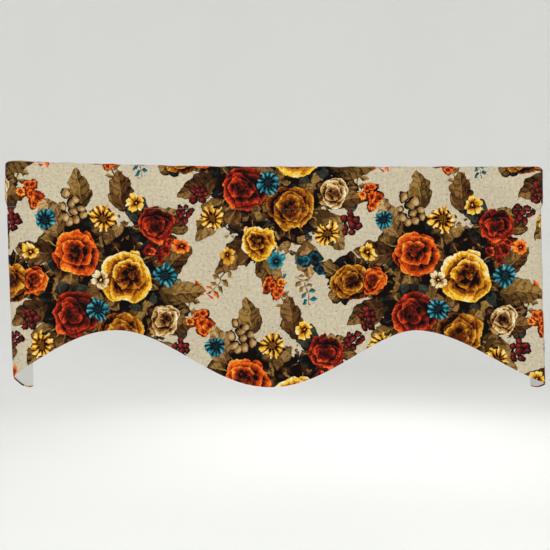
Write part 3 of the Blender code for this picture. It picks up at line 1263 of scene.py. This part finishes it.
class VALANCE_OT_face(bpy.types.Operator):
    """Makes the printed face cloth with its rod pocket and returns"""

    bl_idname = "valance.make_face"
    bl_label = "Make face cloth"

    def execute(self, context):
        sizes = context.scene.valance_cloth
        across, fall, depth, way, crown_row = face_grid(sizes)
        creased = crease_depth(across, fall, depth, sizes)
        creased = creased + np.where(depth <= 0.0, edge_round(across, fall, sizes), 0.0)
        middles = 0.5 * np.abs(across[1:, 1:] + across[1:, :-1])
        cut = (middles > NOTCH_FROM) & (middles < NOTCH_TO)
        cut[:crown_row] = False
        cloth, used = new_cloth("face_cloth", hang(across, fall, creased),
                                np.stack((across, way), axis=-1), sizes.face_thickness, cut)
        rim = to_edge(across, fall) < TURNED_EDGE
        layer = cloth.data.attributes.new("rim", "FLOAT", "POINT")
        layer.data.foreach_set("value", rim.ravel()[used].astype(np.float32))
        colours = context.scene.valance_colours
        hand_over(cloth, "face",
                  (printed_cloth(colours), wrong_side_cloth(colours)))
        return {"FINISHED"}


def stitch_points(spots, behind, sizes, thread):
    """Across, fall and depth of stitches along the pocket's seam, one ring of points after
    another. Each is a slim bead, thick in its middle, and dips into the cloth at both ends."""
    along = np.linspace(-0.5, 0.5, STITCH_RINGS)[:, None]
    turn = np.linspace(0.0, TURN, STITCH_SIDES, endpoint=False)
    taper = np.sqrt(1.0 - STITCH_TAPER * (2.0 * along) ** 2)
    radius = 0.5 * thread.thickness * taper
    across, fall, lift = np.broadcast_arrays(
        spots[:, None, None] + thread.stitch * along, SEAM_FALL + radius * np.cos(turn),
        radius * np.sin(turn) - STITCH_SINK * thread.thickness * (1.0 - taper))
    seam = np.full_like(across, SEAM_FALL)
    depth = flap_depth(seam, sizes) if behind else np.zeros_like(seam)
    return across, fall, crease_depth(across, seam, depth, sizes) + (lift if behind else -lift)


def bead_faces(count, start, flipped):
    """Faces of many beads: the quads of their sides, then the caps at their ends."""
    corners = np.arange(count * STITCH_RINGS * STITCH_SIDES) + start
    corners = corners.reshape(count, STITCH_RINGS, STITCH_SIDES)
    turned = np.roll(corners, -1, axis=2)
    quads = np.stack((corners[:, :-1], corners[:, 1:], turned[:, 1:], turned[:, :-1]), axis=-1)
    faces = []
    for loops in (quads.reshape(-1, 4), corners[:, 0], corners[:, -1, ::-1]):
        faces += (loops[:, ::-1] if flipped else loops).tolist()
    return faces


class VALANCE_OT_stitches(bpy.types.Operator):
    """Sews the pocket's seam, with a row of stitches in front and one behind"""

    bl_idname = "valance.make_stitches"
    bl_label = "Sew pocket seam"

    def execute(self, context):
        thread = context.scene.valance_thread
        count = int(2.0 * (FLAT_HALF - ROW_INSET) / thread.pitch)
        spots = (np.arange(count) - 0.5 * (count - 1)) * thread.pitch
        off_middle = np.abs(spots)
        clear = (off_middle < NOTCH_FROM - NOTCH_CLEARANCE) | (
            off_middle > NOTCH_TO + NOTCH_CLEARANCE)
        sizes = context.scene.valance_cloth
        points, uv, faces = [], [], []
        for behind, row in enumerate((spots, spots[clear])):
            across, fall, depth = stitch_points(row, behind, sizes, thread)
            around = np.broadcast_to(np.arange(STITCH_SIDES) / STITCH_SIDES, across.shape)
            faces += bead_faces(row.size, sum(map(len, points)), behind)
            points.append(hang(across, fall, depth).reshape(-1, 3))
            uv.append(np.stack((across, around), axis=-1).reshape(-1, 2))
        piece = new_piece("seam_thread", np.concatenate(points), faces, np.concatenate(uv))
        finish = thread_finish(context.scene.valance_colours)
        hand_over(piece, None, (finish,))
        return {"FINISHED"}


# ---- operator: stage


def studio_dish(drop):
    """A round floor whose rim sweeps up into a wall: a flat disc, a quarter circle, a rise."""
    turn = np.linspace(0.0, 0.25 * TURN, DISH_RINGS)
    reach = np.concatenate((DISH_FLAT_RINGS, DISH_FLAT + DISH_CURVE * np.sin(turn),
                            (DISH_FLAT + DISH_CURVE,)))
    rise = np.concatenate((np.zeros(len(DISH_FLAT_RINGS)), DISH_CURVE * (1.0 - np.cos(turn)),
                           (DISH_WALL,)))
    around = np.linspace(0.0, TURN, DISH_SIDES + 1)
    points = np.stack((reach[:, None] * np.cos(around), reach[:, None] * np.sin(around),
                       all_across(rise - drop, around)), axis=-1)
    faces = grid_faces(reach.size, around.size).reshape(-1, 4)[:, ::-1]
    return new_piece("studio_floor", points.reshape(-1, 3), faces.tolist())


def add_lamp(lamp, power):
    """A square soft lamp, turned to the middle of the valance."""
    data = with_settings(bpy.data.lights.new(lamp.name, "AREA"), shape="SQUARE",
                         size=lamp.size, energy=power)
    aim = Vector(LAMP_AIM) - Vector(lamp.place)
    new_object(lamp.name, data, location=lamp.place, visible_camera=False,
               rotation_euler=aim.to_track_quat("-Z", "Y").to_euler())


class VALANCE_OT_stage(bpy.types.Operator):
    """Makes the pale floor, the soft lamps and the camera"""

    bl_idname = "valance.make_stage"
    bl_label = "Make studio"

    def execute(self, context):
        scene = context.scene
        studio = scene.valance_studio
        dish = studio_dish(studio.floor_drop)
        dish.data.materials.append(floor_finish(studio.floor_colour))
        for lamp in LAMPS:
            add_lamp(lamp, getattr(studio, lamp.setting))
        scene.world = bpy.data.worlds.new("studio_sky")
        scene.world.use_nodes = True
        feed(scene.world.node_tree.nodes["Background"],
             {"Color": (1.0, 1.0, 1.0), "Strength": studio.sky})
        lens = with_settings(bpy.data.cameras.new("camera"), lens=LENS_LENGTH,
                             sensor_width=SENSOR_WIDTH, clip_start=NEAR_CLIP)
        place = (studio.camera_right, -CROWN_DEPTH - studio.camera_distance,
                 -studio.camera_drop)
        scene.camera = new_object("camera", lens, location=place,
                                  rotation_euler=(0.25 * TURN, 0.0, 0.0))
        with_settings(scene.view_settings, view_transform="Standard", look="None")
        return {"FINISHED"}


OPERATORS = (VALANCE_OT_lining, VALANCE_OT_face, VALANCE_OT_stitches, VALANCE_OT_stage)
GROUPS = (
    ("Cloth", "valance_cloth", ClothSizes), ("Thread", "valance_thread", ThreadSizes),
    ("Colours", "valance_colours", ClothColours), ("Studio", "valance_studio", StudioSettings),
)


class VALANCE_PT_panel(bpy.types.Panel):
    """Sizes, colours and steps of the valance"""

    bl_label = "Valance"
    bl_space_type = "VIEW_3D"
    bl_region_type = "UI"
    bl_category = "Valance"

    def draw(self, context):
        for title, name, group in GROUPS:
            box = self.layout.box()
            box.label(text=title)
            for setting in group.__annotations__:
                box.prop(getattr(context.scene, name), setting)
        for operator in OPERATORS:
            self.layout.operator(operator.bl_idname)


def register():
    """Registers the classes and their settings."""
    for _, name, group in GROUPS:
        bpy.utils.register_class(group)
        setattr(bpy.types.Scene, name, PointerProperty(type=group))
    for item in (*OPERATORS, VALANCE_PT_panel):
        bpy.utils.register_class(item)


def unregister():
    """Takes them away again."""
    for item in (VALANCE_PT_panel, *reversed(OPERATORS)):
        bpy.utils.unregister_class(item)
    for _, name, group in reversed(GROUPS):
        delattr(bpy.types.Scene, name)
        bpy.utils.unregister_class(group)


def main():
    """Makes every piece in order."""
    register()
    bpy.ops.valance.make_lining()
    bpy.ops.valance.make_face()
    bpy.ops.valance.make_stitches()
    bpy.ops.valance.make_stage()


if __name__ == "__main__":
    main()
